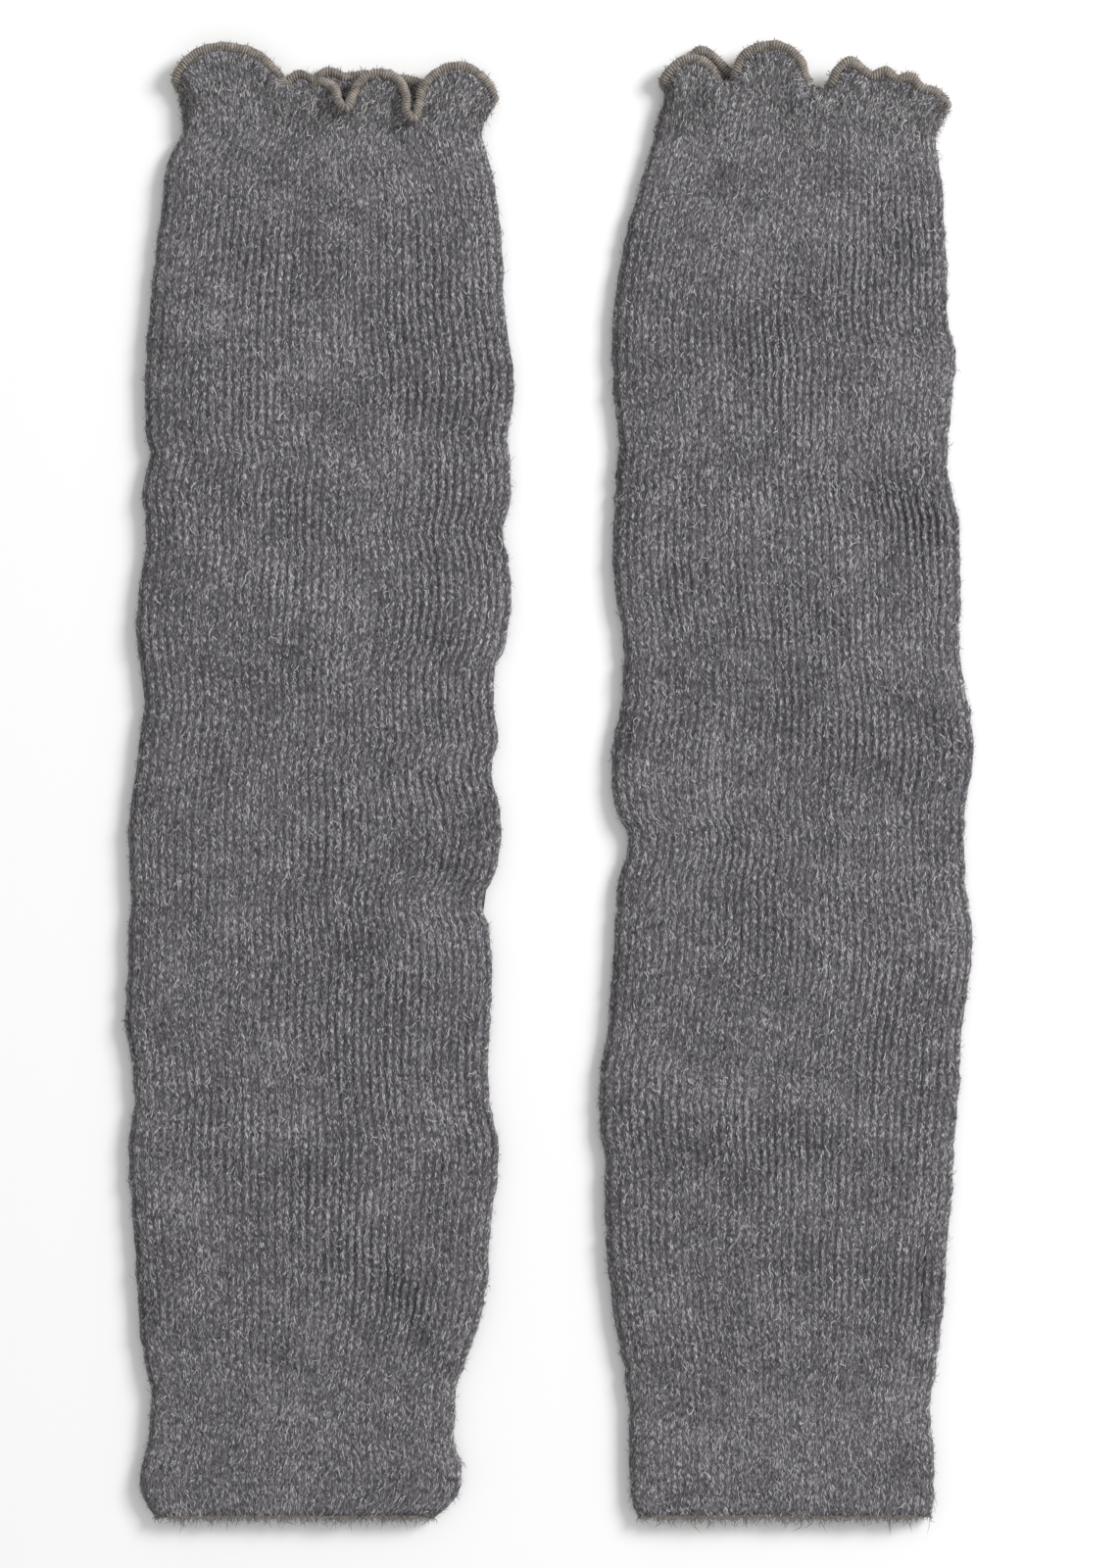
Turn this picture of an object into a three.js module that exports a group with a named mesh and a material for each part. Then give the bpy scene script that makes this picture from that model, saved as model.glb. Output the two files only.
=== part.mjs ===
// A pair of rib-knit leg warmers, laid flat side by side on a level surface.
// Millimetres, +Z up, +Y towards the ruffled ends. The origin is under the middle of the pair.
//
// Each leg warmer is one knitted tube, collapsed so that its front lies on its back, with a thread
// edging rolled round its stretched, wavy mouth. The tube is lofted through level sections; above the
// last section its cloth fans out along curved strips to the wavy line of the mouth.
import * as THREE from "three";

// ---------------------------------------------------------------------------------------------
// Driving dimensions
// ---------------------------------------------------------------------------------------------
const CLOTH = 2.2; // thickness of the brushed knit
const SIDE_HEIGHT = 5.6; // height of the tube at its side folds: two walls and a soft bend
const SIDE_ROUND = 4.0; // how far the bend at a side fold reaches into the tube
const CROWN_POWER = 0.6; // how square the front's crown is across the tube
const SEAM_GAP = 0.4; // between the cloth's cut edge and the edging
const EDGING_RADIUS = 1.3; // thread roll, 2.6 across
const EDGING_SIDES = 6;
const STRIP_ROWS = 3; // sections between the last level section and the mouth
const START_PULL = 0.42; // share of a strip's length over which it leaves the level section straight
const END_PULL = 0.25; // share of it over which it meets the mouth straight
const LENGTH_SHARE = 0.65; // how far the cloth follows the length of the mouth's line, not its width
const EDGE_SAMPLES = 600; // places tried along the mouth's line

// Points round a level section, by stretch: front, each side fold, back. The mouth has twice as many.
const FRONT_STEPS = 12;
const SIDE_STEPS = 4;
const BACK_STEPS = 6;

// A short table with named columns: one object for each row.
const table = (columns, rows) =>
  rows.map((row) => Object.fromEntries(columns.map((column, i) => [column, row[i]])));

// Level sections from the hem up: where each lies, its side folds, and its height at mid width.
const LEFT_SECTIONS = table(["y", "left", "right", "height"], [
  [-231.8, -124.0, -36.5, 5.8],
  [-227.0, -127.5, -31.0, 6.2],
  [-205.0, -126.5, -30.4, 6.4],
  [-192.0, -125.6, -29.4, 6.2],
  [-178.0, -128.6, -25.0, 6.6],
  [-165.0, -129.8, -21.1, 7.2],
  [-144.0, -131.0, -19.2, 7.4],
  [-125.0, -132.2, -17.0, 7.8],
  [-114.0, -132.4, -16.4, 7.4],
  [-103.0, -131.2, -19.3, 6.6],
  [-89.0, -132.0, -19.8, 7.4],
  [-77.0, -133.6, -19.2, 6.8],
  [-62.0, -132.8, -18.3, 7.8],
  [-47.0, -133.0, -19.5, 7.4],
  [-36.5, -131.9, -21.6, 6.4],
  [-29.0, -132.2, -17.8, 6.8],
  [-10.0, -132.4, -15.9, 8.2],
  [2.0, -130.6, -18.8, 7.2],
  [12.5, -129.6, -17.0, 7.6],
  [26.0, -128.0, -18.0, 7.0],
  [36.0, -128.8, -17.2, 6.4],
  [46.0, -129.8, -13.6, 7.4],
  [64.0, -129.0, -12.6, 8.2],
  [78.0, -127.2, -14.8, 7.2],
  [92.0, -128.2, -12.4, 7.8],
  [103.0, -126.0, -12.8, 7.2],
  [112.0, -127.6, -13.4, 6.4],
  [123.0, -127.6, -11.5, 7.6],
  [144.0, -126.4, -13.9, 7.8],
  [163.0, -124.4, -14.9, 7.6],
  [183.0, -122.2, -16.6, 7.2],
  [196.0, -120.6, -19.2, 6.8],
  [204.0, -115.4, -21.4, 6.2],
]);

const RIGHT_SECTIONS = table(["y", "left", "right", "height"], [
  [-231.8, 28.0, 120.5, 5.8],
  [-227.0, 26.0, 121.0, 6.2],
  [-212.0, 25.2, 121.3, 6.4],
  [-196.0, 25.0, 120.0, 6.2],
  [-184.0, 23.4, 122.0, 6.4],
  [-170.0, 20.6, 123.6, 7.0],
  [-150.0, 18.4, 125.0, 7.4],
  [-134.0, 17.8, 126.6, 7.8],
  [-120.0, 17.6, 127.2, 7.2],
  [-106.0, 15.8, 128.2, 7.6],
  [-93.0, 16.0, 129.2, 6.4],
  [-80.0, 18.4, 129.6, 6.8],
  [-62.0, 19.9, 132.4, 7.6],
  [-46.0, 20.8, 133.0, 7.8],
  [-32.0, 21.8, 131.2, 7.2],
  [-20.0, 25.2, 130.4, 6.4],
  [-6.0, 20.6, 131.4, 7.8],
  [10.0, 20.0, 133.6, 7.4],
  [20.0, 22.0, 133.0, 7.0],
  [32.0, 23.4, 130.4, 6.8],
  [46.0, 23.4, 129.2, 6.6],
  [62.0, 20.6, 129.6, 7.8],
  [80.0, 20.2, 128.8, 7.8],
  [97.0, 21.4, 125.8, 6.8],
  [109.0, 22.2, 125.6, 7.4],
  [124.0, 20.2, 127.4, 7.6],
  [134.0, 20.0, 128.2, 7.4],
  [143.0, 19.8, 126.0, 6.4],
  [158.0, 21.8, 125.2, 7.6],
  [173.0, 24.6, 124.8, 7.2],
  [184.0, 27.6, 124.0, 6.4],
  [194.0, 30.2, 122.8, 6.6],
  [203.0, 33.2, 122.2, 6.2],
]);

// The line of the mouth's cloth edge, a row for each bend: where it is, its height at mid thickness,
// and its turn, in degrees: 0 lies flat and points outwards, 90 stands up, below 0 tucks behind.
const MOUTH_COLUMNS = ["x", "y", "z", "turn"];

const LEFT_FRONT_EDGE = table(MOUTH_COLUMNS, [
  [-116.8, 218.2, 2.8, 0],
  [-115.2, 223.2, 5.4, 0],
  [-109.8, 228.2, 5.8, 10],
  [-101.0, 229.6, 6.2, 10],
  [-92.0, 227.0, 5.6, 0],
  [-86.0, 221.0, 5.4, -20],
  [-80.0, 216.6, 5.6, -20],
  [-73.0, 217.0, 5.8, 0],
  [-68.0, 216.6, 7.0, 40],
  [-64.2, 213.4, 8.4, 75],
  [-59.4, 216.0, 7.6, 45],
  [-53.6, 219.0, 6.4, 10],
  [-48.2, 217.0, 7.0, 20],
  [-46.0, 212.4, 8.2, 60],
  [-43.2, 210.0, 8.6, 75],
  [-40.8, 213.0, 7.8, 50],
  [-37.0, 218.4, 6.6, 20],
  [-28.0, 222.0, 6.0, 10],
  [-21.4, 218.6, 4.8, 0],
  [-18.0, 214.0, 3.1, 0],
]);

const LEFT_BACK_EDGE = table(MOUTH_COLUMNS, [
  [-22.0, 213.6, 1.6, 0],
  [-30.0, 216.2, 1.5, 0],
  [-40.0, 213.6, 1.5, 0],
  [-50.0, 218.0, 1.5, 0],
  [-58.0, 220.4, 1.8, 0],
  [-68.0, 218.0, 1.5, 0],
  [-79.0, 219.0, 1.8, 0],
  [-90.0, 216.6, 1.5, 0],
  [-104.0, 219.6, 1.5, 0],
  [-112.0, 216.0, 1.6, 0],
]);

const RIGHT_FRONT_EDGE = table(MOUTH_COLUMNS, [
  [37.0, 218.5, 2.6, 0],
  [38.6, 222.1, 5.8, 0],
  [43.8, 226.6, 6.2, 10],
  [48.6, 225.6, 6.0, 10],
  [52.0, 221.0, 5.6, -20],
  [58.0, 219.0, 5.6, -20],
  [62.2, 223.4, 6.0, 10],
  [66.4, 228.0, 6.8, 20],
  [74.0, 228.4, 6.8, 20],
  [78.2, 224.0, 6.0, 10],
  [81.8, 218.6, 5.6, -20],
  [88.0, 216.4, 5.6, -10],
  [92.0, 220.0, 6.2, 10],
  [95.6, 223.0, 7.2, 30],
  [99.8, 219.6, 6.6, 20],
  [106.0, 220.4, 6.6, 20],
  [112.6, 219.0, 6.2, 10],
  [120.8, 216.2, 5.0, 0],
  [125.2, 212.0, 3.1, 0],
]);

const RIGHT_BACK_EDGE = table(MOUTH_COLUMNS, [
  [121.0, 211.4, 1.6, 0],
  [112.0, 214.4, 1.5, 0],
  [99.0, 214.0, 1.5, 0],
  [88.0, 214.6, 1.5, 0],
  [76.0, 219.8, 1.5, 0],
  [64.0, 217.0, 1.5, 0],
  [55.0, 223.4, 1.6, 0],
  [48.0, 229.2, 2.4, 0],
  [41.5, 217.5, 1.6, 0],
]);

// Large folds pressed into the front: a straight run, how deep, and how wide to each side.
const FOLD_COLUMNS = ["fromX", "fromY", "toX", "toY", "depth", "reach"];

const LEFT_FOLDS = table(FOLD_COLUMNS, [
  [-106.0, 194.0, -58.0, 170.0, 1.5, 6.0],
  [-48.0, 8.0, -17.0, -8.0, -0.7, 5.0],
  [-127.0, 34.0, -98.0, 29.0, 0.9, 4.5],
  [-74.0, -28.0, -22.0, -35.0, 1.0, 6.0],
  [-130.0, -84.0, -88.0, -88.0, 0.9, 5.0],
]);

const RIGHT_FOLDS = table(FOLD_COLUMNS, [
  [36.0, 182.0, 118.0, 180.0, 0.9, 6.0],
  [40.0, 140.0, 120.0, 139.0, 0.8, 5.0],
  [100.0, 24.0, 122.0, 12.0, 1.4, 7.0],
  [24.0, -22.0, 66.0, -24.0, 0.8, 5.0],
  [20.0, -94.0, 88.0, -96.0, 1.1, 6.0],
  [86.0, -95.0, 118.0, -108.0, 0.9, 6.0],
]);

const KNIT_MATERIAL = { color: 0x69676a, roughness: 0.96, metalness: 0 };
const EDGING_MATERIAL = { color: 0x7a736c, roughness: 0.9, metalness: 0 };

// ---------------------------------------------------------------------------------------------
// Sections of a collapsed tube
// ---------------------------------------------------------------------------------------------
const HALF_CLOTH = CLOTH / 2;
const BEND_RADIUS = (SIDE_HEIGHT - CLOTH) / 2; // of the cloth's middle, at a side fold
const BEND_CENTRE = HALF_CLOTH + BEND_RADIUS;

// Depth of the folds at a point of the front. A fold is a soft trough that runs out at its ends.
function foldDepth(folds, x, y) {
  let depth = 0;
  for (const fold of folds) {
    const start = new THREE.Vector2(fold.fromX, fold.fromY);
    const run = new THREE.Vector2(fold.toX, fold.toY).sub(start);
    const offset = new THREE.Vector2(x, y).sub(start);
    const along = THREE.MathUtils.clamp(offset.dot(run) / run.lengthSq(), 0, 1);
    const across = offset.distanceTo(run.clone().multiplyScalar(along));
    const taper = 0.35 + 0.65 * Math.sin(Math.PI * along);
    depth += fold.depth * taper * Math.exp(-((across / fold.reach) ** 2));
  }
  return depth;
}

// The middle of the cloth round one level section, anticlockwise from the left fold's outermost
// point over the front to the right fold and back underneath. detail multiplies the steps.
function sectionPoints(section, folds, detail) {
  const foldLeft = section.left + HALF_CLOTH + SIDE_ROUND;
  const foldRight = section.right - HALF_CLOTH - SIDE_ROUND;
  const points = [];
  const bend = (centreX, fromDegrees, toDegrees) => {
    const steps = (SIDE_STEPS / 2) * detail;
    for (let i = 0; i < steps; i += 1) {
      const angle = THREE.MathUtils.degToRad(fromDegrees + ((toDegrees - fromDegrees) * i) / steps);
      const x = centreX + SIDE_ROUND * Math.cos(angle);
      points.push(new THREE.Vector3(x, section.y, BEND_CENTRE + BEND_RADIUS * Math.sin(angle)));
    }
  };
  bend(foldLeft, 180, 90);
  const frontSteps = FRONT_STEPS * detail;
  for (let i = 0; i < frontSteps; i += 1) {
    const share = i / frontSteps;
    const x = foldLeft + (foldRight - foldLeft) * share;
    const crown = (1 - (2 * share - 1) ** 2) ** CROWN_POWER;
    const height = SIDE_HEIGHT + (section.height - SIDE_HEIGHT) * crown;
    points.push(new THREE.Vector3(x, section.y, height - HALF_CLOTH - crown * foldDepth(folds, x, section.y)));
  }
  bend(foldRight, 90, 0);
  bend(foldRight, 0, -90);
  const backSteps = BACK_STEPS * detail;
  for (let i = 0; i < backSteps; i += 1) {
    points.push(new THREE.Vector3(foldRight + ((foldLeft - foldRight) * i) / backSteps, section.y, HALF_CLOTH));
  }
  bend(foldLeft, 270, 180);
  return points;
}

// ---------------------------------------------------------------------------------------------
// The wavy mouth
// ---------------------------------------------------------------------------------------------

// Stops along the smooth line through a run of edge rows. Stop i is sewn to the wale that lies the
// share i / steps of the way across the tube: cloth is shared out by the line's length, and partly
// by how far across the line has come.
function walkEdge(rows, steps) {
  const curve = new THREE.CatmullRomCurve3(rows.map((row) => new THREE.Vector3(row.x, row.y, row.z)));
  const turns = new THREE.CatmullRomCurve3(rows.map((row) => new THREE.Vector3(row.turn, 0, 0)));
  const start = rows[0].x;
  const width = rows[rows.length - 1].x - start;
  const stops = Array.from({ length: EDGE_SAMPLES + 1 }, (_, i) => {
    const along = i / EDGE_SAMPLES;
    const place = curve.getUtoTmapping(along);
    const point = curve.getPoint(place);
    const across = (point.x - start) / width;
    const wale = THREE.MathUtils.lerp(across, along, LENGTH_SHARE);
    return { point, turn: turns.getPoint(place).x, wale };
  });
  return Array.from({ length: steps }, (_, i) => stops.find((stop) => stop.wale >= i / steps));
}

// The mouth's edge points, in the order of sectionPoints at detail 2, each with the direction that
// the cloth has as it reaches the edge.
function mouthPoints(frontRows, backRows) {
  const frontCount = (FRONT_STEPS + SIDE_STEPS) * 2;
  const backCount = (BACK_STEPS + SIDE_STEPS) * 2;
  const first = frontRows[0];
  const last = frontRows[frontRows.length - 1];
  const front = walkEdge(frontRows, frontCount);
  const back = walkEdge([last, ...backRows, first], backCount);
  const ring = [...front, ...back];
  const neighbours = (list, i) => [list[(i + list.length - 1) % list.length], list[(i + 1) % list.length]];
  const level = ring.map((_, i) => {
    const [before, after] = neighbours(ring, i);
    const side = i < frontCount ? 1 : -1;
    const across = after.point.clone().sub(before.point).multiplyScalar(side);
    return new THREE.Vector3(-across.y, across.x, 0).normalize();
  });
  // At the two side folds the line turns back on itself, so there the directions are shared.
  for (const i of [0, frontCount]) {
    const [before, after] = neighbours(level, i);
    level[i].copy(before).add(after).normalize();
  }
  ring.forEach((stop, i) => {
    const [before, after] = neighbours(level, i);
    const turn = THREE.MathUtils.degToRad(stop.turn);
    stop.outward = level[i].clone().multiplyScalar(2).add(before).add(after).normalize();
    stop.outward.multiplyScalar(Math.cos(turn)).setZ(Math.sin(turn));
  });
  return ring;
}

// Rows of points from a level section out to the mouth: each strip of cloth leaves along +Y and
// reaches the edge along its own outward direction.
function stripRows(base, mouth) {
  return Array.from({ length: STRIP_ROWS }, (_, row) => {
    const share = (row + 1) / STRIP_ROWS;
    return base.map((start, i) => {
      const { point, outward } = mouth[i];
      const reach = start.distanceTo(point);
      const strip = new THREE.CubicBezierCurve3(
        start,
        start.clone().add(new THREE.Vector3(0, START_PULL * reach, 0)),
        point.clone().addScaledVector(outward, -END_PULL * reach),
        point,
      );
      return strip.getPoint(share);
    });
  });
}

// ---------------------------------------------------------------------------------------------
// Closed meshes
// ---------------------------------------------------------------------------------------------
function meshFrom(name, vertices, triangles, material) {
  const geometry = new THREE.BufferGeometry().setFromPoints(vertices);
  geometry.setIndex(triangles.flat());
  geometry.computeVertexNormals();
  const mesh = new THREE.Mesh(geometry, new THREE.MeshStandardMaterial(material));
  mesh.name = name;
  return mesh;
}

// The outward normal of the cloth at each point of a stack of rings. A ring may have twice the
// points of the one below it.
function ringNormals(rings) {
  const matching = (ring, i, count) => ring[Math.floor((i * ring.length) / count) % ring.length];
  return rings.map((ring, row) => {
    const below = rings[Math.max(row - 1, 0)];
    const above = rings[Math.min(row + 1, rings.length - 1)];
    return ring.map((_, i) => {
      const next = ring[(i + 1) % ring.length];
      const previous = ring[(i + ring.length - 1) % ring.length];
      const up = matching(above, i, ring.length).clone().sub(matching(below, i, ring.length));
      return next.clone().sub(previous).cross(up).normalize();
    });
  });
}

// Triangles between ring a and the ring b above it, given as lists of vertex numbers. b has as many
// vertices as a, or twice as many.
function bandTriangles(a, b) {
  const triangles = [];
  a.forEach((corner, i) => {
    const nextCorner = a[(i + 1) % a.length];
    if (b.length === a.length) {
      const nextAbove = b[(i + 1) % b.length];
      triangles.push([corner, nextCorner, nextAbove], [corner, nextAbove, b[i]]);
    } else {
      const middle = b[2 * i + 1];
      const nextAbove = b[(2 * i + 2) % b.length];
      triangles.push([corner, middle, b[2 * i]], [corner, nextCorner, middle]);
      triangles.push([nextCorner, nextAbove, middle]);
    }
  });
  return triangles;
}

// A wall of even thickness on both sides of a stack of rings, open at both ends of the stack.
function wallMesh(name, rings, normals) {
  const vertices = [];
  const layer = (side) =>
    rings.map((ring, row) =>
      ring.map((point, i) => {
        vertices.push(point.clone().addScaledVector(normals[row][i], side * HALF_CLOTH));
        return vertices.length - 1;
      }),
    );
  const outer = layer(1);
  const inner = layer(-1);
  const triangles = [];
  for (let row = 0; row + 1 < rings.length; row += 1) {
    triangles.push(...bandTriangles(outer[row], outer[row + 1]));
    triangles.push(...bandTriangles(inner[row], inner[row + 1]).map(([a, b, c]) => [a, c, b]));
  }
  triangles.push(...bandTriangles(inner[0], outer[0]));
  triangles.push(...bandTriangles(outer[rings.length - 1], inner[rings.length - 1]));
  return meshFrom(name, vertices, triangles, KNIT_MATERIAL);
}

// The thread roll, laid round the mouth just clear of the cloth's cut edge.
function edgingMesh(name, mouth, normals) {
  const vertices = [];
  const rings = mouth.map(({ point, outward }, i) => {
    const centre = point.clone().addScaledVector(outward, SEAM_GAP + EDGING_RADIUS);
    return Array.from({ length: EDGING_SIDES }, (_, side) => {
      const angle = (2 * Math.PI * side) / EDGING_SIDES;
      const corner = centre.clone().addScaledVector(normals[i], EDGING_RADIUS * Math.cos(angle));
      vertices.push(corner.addScaledVector(outward, -EDGING_RADIUS * Math.sin(angle)));
      return vertices.length - 1;
    });
  });
  const triangles = rings.flatMap((ring, i) => bandTriangles(ring, rings[(i + 1) % rings.length]));
  return meshFrom(name, vertices, triangles, EDGING_MATERIAL);
}

function legWarmer(side, sections, folds, frontEdge, backEdge) {
  const lastSection = sections[sections.length - 1];
  const levelRings = sections.slice(0, -1).map((section) => sectionPoints(section, folds, 1));
  const base = sectionPoints(lastSection, folds, 2);
  const mouth = mouthPoints(frontEdge, backEdge);
  const rings = [...levelRings, base, ...stripRows(base, mouth)];
  const normals = ringNormals(rings);
  const edgeNormals = normals[normals.length - 1];
  // The cut edge is square to the way the cloth runs there, so the edging lies evenly along it.
  edgeNormals.forEach((normal, i) => {
    normal.addScaledVector(mouth[i].outward, -normal.dot(mouth[i].outward)).normalize();
  });
  const warmer = new THREE.Group();
  warmer.add(wallMesh(`${side}_tube`, rings, normals));
  warmer.add(edgingMesh(`${side}_edging`, mouth, edgeNormals));
  return warmer;
}

const pair = new THREE.Group();
pair.add(legWarmer("left", LEFT_SECTIONS, LEFT_FOLDS, LEFT_FRONT_EDGE, LEFT_BACK_EDGE));
pair.add(legWarmer("right", RIGHT_SECTIONS, RIGHT_FOLDS, RIGHT_FRONT_EDGE, RIGHT_BACK_EDGE));

// The origin goes under the middle of the pair's box.
const middle = new THREE.Box3().setFromObject(pair).getCenter(new THREE.Vector3());
pair.position.set(-middle.x, -middle.y, 0);

export default pair;
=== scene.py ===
"""A pair of rib-knit leg warmers with lettuce edges, laid flat on a pale surface."""
import logging
import math
from dataclasses import dataclass
from enum import Enum
from typing import Any, NamedTuple, Sequence

import bpy
import numpy as np
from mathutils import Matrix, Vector


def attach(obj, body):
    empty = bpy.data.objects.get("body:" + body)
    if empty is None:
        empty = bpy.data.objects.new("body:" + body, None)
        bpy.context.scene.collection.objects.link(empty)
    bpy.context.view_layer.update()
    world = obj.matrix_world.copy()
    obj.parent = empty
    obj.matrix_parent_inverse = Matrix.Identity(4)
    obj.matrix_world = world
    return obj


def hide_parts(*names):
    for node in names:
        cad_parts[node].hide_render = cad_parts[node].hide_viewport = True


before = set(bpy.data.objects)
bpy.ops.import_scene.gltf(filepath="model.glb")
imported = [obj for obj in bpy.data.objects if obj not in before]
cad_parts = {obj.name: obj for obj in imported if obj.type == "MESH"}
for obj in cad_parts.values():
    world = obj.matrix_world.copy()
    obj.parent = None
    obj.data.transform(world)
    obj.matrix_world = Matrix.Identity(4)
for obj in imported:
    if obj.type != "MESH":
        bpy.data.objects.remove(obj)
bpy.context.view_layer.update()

LOG = logging.getLogger("leg_warmers")
MM = 0.001

WAVES = 7  # sine waves summed in one wandering field
SMALLEST = 1e-9  # shortest vector that is still scaled to length 1
FINE_STEPS = 4  # places read on a curve for each place asked for
COLOUR = tuple[float, float, float, float]


class Side(Enum):
    """Which leg warmer of the pair."""

    LEFT = "left"
    RIGHT = "right"


class Section(NamedTuple):
    """A level section of the collapsed tube, in millimetres."""

    y: float
    left: float
    right: float
    height: float


class Bend(NamedTuple):
    """A bend of the mouth's cut edge: place in millimetres, turn up out of level in degrees."""

    x: float
    y: float
    z: float
    turn: float


class Fibres(NamedTuple):
    """A group of loose fibres: roots, cloth normals, directions, lengths and colours."""

    root: np.ndarray
    normal: np.ndarray
    aim: np.ndarray
    length: np.ndarray
    lightness: np.ndarray
    warmth: np.ndarray


class Crease(NamedTuple):
    """A soft trough (or ridge, with a depth below 0) across the front, in millimetres."""

    from_x: float
    from_y: float
    to_x: float
    to_y: float
    depth: float
    reach: float


# ------------------------------------------------------------------------------------------
# Curves
# ------------------------------------------------------------------------------------------
def smooth_values(at: np.ndarray, keys: np.ndarray, values: np.ndarray) -> np.ndarray:
    """Read a smooth line through short rows of values.

    Args:
        at: where to read it.
        keys: rising positions of the rows.
        values: the rows' values.

    Returns:
        One value for each position.
    """
    slopes = np.gradient(values, keys)
    index = np.clip(np.searchsorted(keys, at) - 1, 0, len(keys) - 2)
    span = keys[index + 1] - keys[index]
    t = np.clip((at - keys[index]) / span, 0.0, 1.0)
    rise = values[index] * (2 * t**3 - 3 * t**2 + 1) + values[index + 1] * (3 * t**2 - 2 * t**3)
    lean = slopes[index] * (t**3 - 2 * t**2 + t) + slopes[index + 1] * (t**3 - t**2)
    return rise + lean * span


def smooth_route(rows: np.ndarray, samples: int) -> np.ndarray:
    """Walk a smooth curve through rows of points at equal steps of length.

    Args:
        rows: points with any further columns; the first three are x, y, z.
        samples: how many places to return.

    Returns:
        An array with the same columns as rows.
    """
    chord = np.linalg.norm(np.diff(rows[:, :3], axis=0), axis=1)
    keys = np.concatenate([[0.0], np.cumsum(chord)])
    fine = np.linspace(0.0, keys[-1], FINE_STEPS * samples)
    curve = np.stack([smooth_values(fine, keys, column) for column in rows.T], axis=1)
    steps = np.linalg.norm(np.diff(curve[:, :3], axis=0), axis=1)
    length = np.concatenate([[0.0], np.cumsum(steps)])
    wanted = np.linspace(0.0, length[-1], samples)
    return np.stack([np.interp(wanted, length, column) for column in curve.T], axis=1)


def unit(vectors: np.ndarray) -> np.ndarray:
    """Scale each vector to length 1."""
    return vectors / np.maximum(np.linalg.norm(vectors, axis=-1, keepdims=True), SMALLEST)


def wander(x: np.ndarray, y: np.ndarray, scale: float, seed: int) -> np.ndarray:
    """Smooth random waves over a plane.

    Args:
        x: first coordinate.
        y: second coordinate.
        scale: size of a wave, in the coordinates' own unit.
        seed: which waves.

    Returns:
        Values from about -1 to 1.
    """
    rng = np.random.default_rng(seed)
    total = np.zeros(np.broadcast(x, y).shape)
    for _ in range(WAVES):
        angle = rng.uniform(0.0, math.tau)
        rate = rng.uniform(0.6, 1.6) * math.tau / scale
        phase = rng.uniform(0.0, math.tau)
        total += np.sin(rate * (x * math.cos(angle) + y * math.sin(angle)) + phase)
    return total / math.sqrt(WAVES)


# ------------------------------------------------------------------------------------------
# Shader graph
# ------------------------------------------------------------------------------------------
class Field:
    """A socket that can be used in sums, so that shader maths reads as maths."""

    def __init__(self, graph: "Graph", socket: Any) -> None:
        """Wrap a socket of a graph."""
        self.graph = graph
        self.socket = socket

    def _math(self, operation: str, *values: Any) -> "Field":
        """Add a Math node.

        Args:
            operation: what the node does.
            values: numbers or fields for its sockets, in order.

        Returns:
            The node's result.
        """
        node = self.graph.node("ShaderNodeMath", {"operation": operation}, dict(enumerate(values)))
        return Field(self.graph, node.outputs[0])

    def __add__(self, other: Any) -> "Field":
        """Sum."""
        return self._math("ADD", self, other)

    __radd__ = __add__

    def __mul__(self, other: Any) -> "Field":
        """Product."""
        return self._math("MULTIPLY", self, other)

    __rmul__ = __mul__

    def __sub__(self, other: Any) -> "Field":
        """Difference."""
        return self._math("SUBTRACT", self, other)

    def __rsub__(self, other: Any) -> "Field":
        """Difference, the other way round."""
        return self._math("SUBTRACT", other, self)

    def sine(self) -> "Field":
        """Sine of the value in radians."""
        return self._math("SINE", self)

    def cosine(self) -> "Field":
        """Cosine of the value in radians."""
        return self._math("COSINE", self)

    def clipped(self, low: float, high: float) -> "Field":
        """Value held between two limits."""
        return self._math("MAXIMUM", self._math("MINIMUM", self, high), low)

    def fraction(self) -> "Field":
        """What is left over whole numbers."""
        return self._math("FRACT", self)

    def held(self) -> "Field":
        """Value held from 0 to 1."""
        node = self.graph.node("ShaderNodeClamp", {}, {"Value": self})
        return Field(self.graph, node.outputs[0])


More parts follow.
